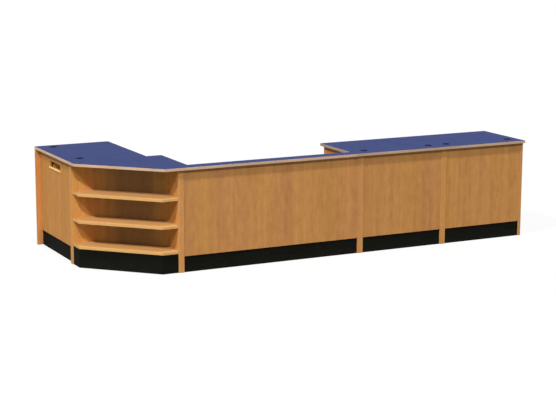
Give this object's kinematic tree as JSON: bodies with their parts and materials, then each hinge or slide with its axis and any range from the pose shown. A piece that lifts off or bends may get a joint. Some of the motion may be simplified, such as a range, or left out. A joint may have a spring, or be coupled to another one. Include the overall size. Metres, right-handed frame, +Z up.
{
  "type": "reception desk",
  "caption": "L-shaped modular reception desk: book-return wing, angled corner display shelves, ledge over a seated worktop, open storage with a drawer, laminate tops on oak carcasses.",
  "frame": {"origin": "centre of the desk's overall plan rectangle, on the floor", "axes": "+X along the long front run, from the book-return wing to the far end; +Y from the public side to the staff side; +Z up"},
  "size_m": [4.63, 1.8, 0.9928],
  "materials": {
    "oak_laminate": "satin oak laminate with vertical grain",
    "edge_band": "satin pale solid wood edging",
    "blue_laminate": "matte blue high-pressure laminate",
    "kick_black": "matte black vinyl kick board",
    "grommet_black": "fine textured black moulding",
    "steel": "brushed"
  },
  "bodies": {
    "carcass": {"corner_back_panel": "oak_laminate", "corner_bottom_shelf": "oak_laminate", "corner_front_band": "edge_band", "corner_kick": "kick_black", "corner_lower_shelf": "oak_laminate", "corner_rear_band": "edge_band", "corner_station_gable": "oak_laminate", "corner_top": "blue_laminate", "corner_upper_shelf": "oak_laminate", "corner_wing_gable": "oak_laminate", "counter_top": "blue_laminate", "counter_top_band": "edge_band", "drawer_left_runner": "steel", "drawer_right_runner": "steel", "end_deck": "oak_laminate", "end_front_panel": "oak_laminate", "end_kick": "kick_black", "end_left_gable": "oak_laminate", "end_left_liner": "grommet_black", "end_right_gable": "oak_laminate", "end_right_liner": "grommet_black", "end_shelf": "oak_laminate", "ledge_front_band": "edge_band", "ledge_rear_band": "edge_band", "ledge_top": "blue_laminate", "middle_deck": "oak_laminate", "middle_front_panel": "oak_laminate", "middle_kick": "kick_black", "middle_left_gable": "oak_laminate", "middle_left_liner": "grommet_black", "middle_right_gable": "oak_laminate", "middle_right_liner": "grommet_black", "middle_shelf": "oak_laminate", "return_chute": "oak_laminate", "return_lip": "edge_band", "station_front_panel": "oak_laminate", "station_kick": "kick_black", "station_left_gable": "oak_laminate", "station_right_gable": "oak_laminate", "wing_corner_gable": "oak_laminate", "wing_end_gable": "oak_laminate", "wing_far_liner": "grommet_black", "wing_front_panel": "oak_laminate", "wing_kick": "kick_black", "wing_near_liner": "grommet_black", "wing_rail": "oak_laminate", "wing_top": "blue_laminate", "wing_top_band": "edge_band", "work_surface": "blue_laminate", "work_surface_band": "edge_band", "work_surface_support": "oak_laminate"},
    "drawer": {"drawer_front": "oak_laminate", "drawer_tray": "oak_laminate", "drawer_pull": "steel"},
    "cap_wing_near": {"wing_near_cap": "grommet_black"},
    "cap_wing_far": {"wing_far_cap": "grommet_black"},
    "cap_middle_left": {"middle_left_cap": "grommet_black"},
    "cap_middle_right": {"middle_right_cap": "grommet_black"},
    "cap_end_left": {"end_left_cap": "grommet_black"},
    "cap_end_right": {"end_right_cap": "grommet_black"}
  },
  "joints": [
    {"name": "drawer_slide", "type": "slide", "parent": "carcass", "child": "drawer", "axis": [0, 1, 0], "range_m": [0, 0.35]},
    {"name": "wing_near_cap_turn", "type": "hinge", "parent": "carcass", "child": "cap_wing_near", "pos_m": [-2.155, 0.02, 0.99], "axis": [0, 0, 1], "continuous": true},
    {"name": "wing_far_cap_turn", "type": "hinge", "parent": "carcass", "child": "cap_wing_far", "pos_m": [-2.155, 0.78, 0.99], "axis": [0, 0, 1], "continuous": true},
    {"name": "middle_left_cap_turn", "type": "hinge", "parent": "carcass", "child": "cap_middle_left", "pos_m": [0.505, -0.74, 0.99], "axis": [0, 0, 1], "continuous": true},
    {"name": "middle_right_cap_turn", "type": "hinge", "parent": "carcass", "child": "cap_middle_right", "pos_m": [1.245, -0.74, 0.99], "axis": [0, 0, 1], "continuous": true},
    {"name": "end_left_cap_turn", "type": "hinge", "parent": "carcass", "child": "cap_end_left", "pos_m": [1.455, -0.74, 0.99], "axis": [0, 0, 1], "continuous": true},
    {"name": "end_right_cap_turn", "type": "hinge", "parent": "carcass", "child": "cap_end_right", "pos_m": [2.195, -0.74, 0.99], "axis": [0, 0, 1], "continuous": true}
  ]
}
